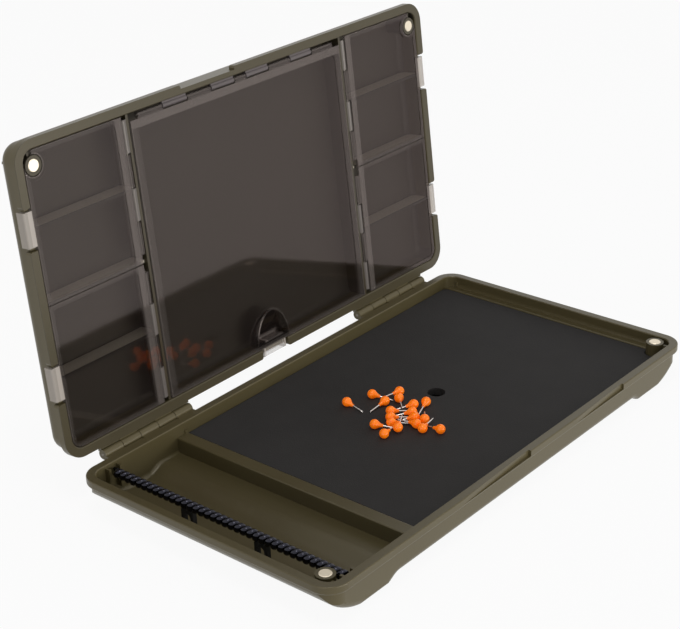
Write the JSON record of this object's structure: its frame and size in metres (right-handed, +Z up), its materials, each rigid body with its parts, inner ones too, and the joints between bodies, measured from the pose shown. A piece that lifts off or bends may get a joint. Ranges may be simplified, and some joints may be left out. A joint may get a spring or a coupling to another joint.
{
  "type": "rig box",
  "caption": "Shallow two-tray rig box with a pinned hinge, small see-through doors in the lid, a foam board with loose rig pins and a coil spring for hooks.",
  "frame": {"origin": "middle of the plane that the two feet stand on, under the middle of the base tray", "axes": "+X along the long side to the right as seen from the front, +Y from the front to the hinge, +Z up"},
  "size_m": [0.35, 0.2265, 0.2137],
  "materials": {
    "tray_plastic": "moulded, fine satin texture",
    "steel_pin": "bright drawn wire",
    "magnet_nickel": "nickel plated",
    "smoked_door": "smoked, see-through, polished",
    "foam": "closed-cell foam, matte",
    "spring_wire": "black, glossy",
    "support_plastic": "moulded",
    "orange_head": "moulded, glossy",
    "pin_steel": "bright wire"
  },
  "bodies": {
    "base": {"base_shell": "tray_plastic", "main_hinge_pin_left": "steel_pin", "main_hinge_pin_right": "steel_pin", "base_magnet_left": "magnet_nickel", "base_magnet_right": "magnet_nickel", "hook_spring": "spring_wire", "spring_support_front": "support_plastic", "spring_support_rear": "support_plastic"},
    "lid": {"lid_shell": "tray_plastic", "lid_partition_left": "tray_plastic", "lid_partition_right": "tray_plastic", "lid_dividers": "tray_plastic", "lid_magnet_left": "magnet_nickel", "lid_magnet_right": "magnet_nickel", "door_pin_left_front": "steel_pin", "door_pin_left_rear": "steel_pin", "door_pin_right_front": "steel_pin", "door_pin_right_rear": "steel_pin", "door_pin_centre": "steel_pin"},
    "left_front_door": {"door_left_front": "smoked_door"},
    "left_rear_door": {"door_left_rear": "smoked_door"},
    "right_front_door": {"door_right_front": "smoked_door"},
    "right_rear_door": {"door_right_rear": "smoked_door"},
    "centre_door": {"door_centre": "smoked_door"},
    "board": {"rig_board": "foam", "pin_heads": "orange_head", "pin_shafts": "pin_steel"}
  },
  "joints": [
    {"name": "lid_hinge", "type": "hinge", "parent": "base", "child": "lid", "pos_m": [0, 0.0977, 0.024], "axis": [-1, 0, 0], "range_deg": [-95.8, 0]},
    {"name": "left_front_door_hinge", "type": "hinge", "parent": "lid", "child": "left_front_door", "pos_m": [-0.0954, 0.10996, 0.12096], "axis": [0, 0.1011, 0.9949], "range_deg": [0, 95]},
    {"name": "left_rear_door_hinge", "type": "hinge", "parent": "lid", "child": "left_rear_door", "pos_m": [-0.0954, 0.10996, 0.12096], "axis": [0, 0.1011, 0.9949], "range_deg": [0, 95]},
    {"name": "right_front_door_hinge", "type": "hinge", "parent": "lid", "child": "right_front_door", "pos_m": [0.0954, 0.10996, 0.12096], "axis": [0, -0.1011, -0.9949], "range_deg": [0, 95]},
    {"name": "right_rear_door_hinge", "type": "hinge", "parent": "lid", "child": "right_rear_door", "pos_m": [0.0954, 0.10996, 0.12096], "axis": [0, -0.1011, -0.9949], "range_deg": [0, 95]},
    {"name": "centre_door_hinge", "type": "hinge", "parent": "lid", "child": "centre_door", "pos_m": [0, 0.11851, 0.20512], "axis": [-1, 0, 0], "range_deg": [0, 95]},
    {"name": "board_lift", "type": "slide", "parent": "base", "child": "board", "axis": [0, 0, 1], "range_m": [0, 0.015]}
  ]
}
